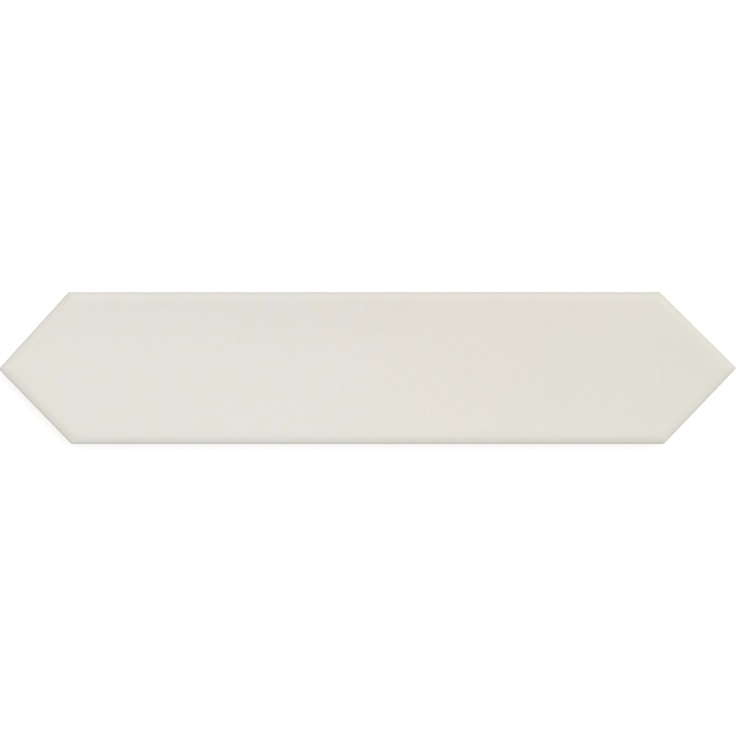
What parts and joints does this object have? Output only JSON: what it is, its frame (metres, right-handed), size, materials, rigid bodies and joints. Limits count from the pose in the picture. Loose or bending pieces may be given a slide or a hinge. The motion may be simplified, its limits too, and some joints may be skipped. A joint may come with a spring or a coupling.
{
  "type": "wall tile",
  "caption": "Long, narrow wall tile with a point at each end: a glazed, softly cushioned face, upright sides tapering in below, and a ribbed, keyed back.",
  "frame": {"origin": "centre of the back, on the plane that the rim and the ribs are bedded on", "axes": "+X from the middle towards one tip, along the tile; +Y across it, square to a long side; +Z out of the glazed face"},
  "size_m": [0.25, 0.0516, 0.009],
  "materials": {
    "glaze": "satin"
  },
  "bodies": {
    "root": {"tile": "glaze"}
  },
  "joints": []
}
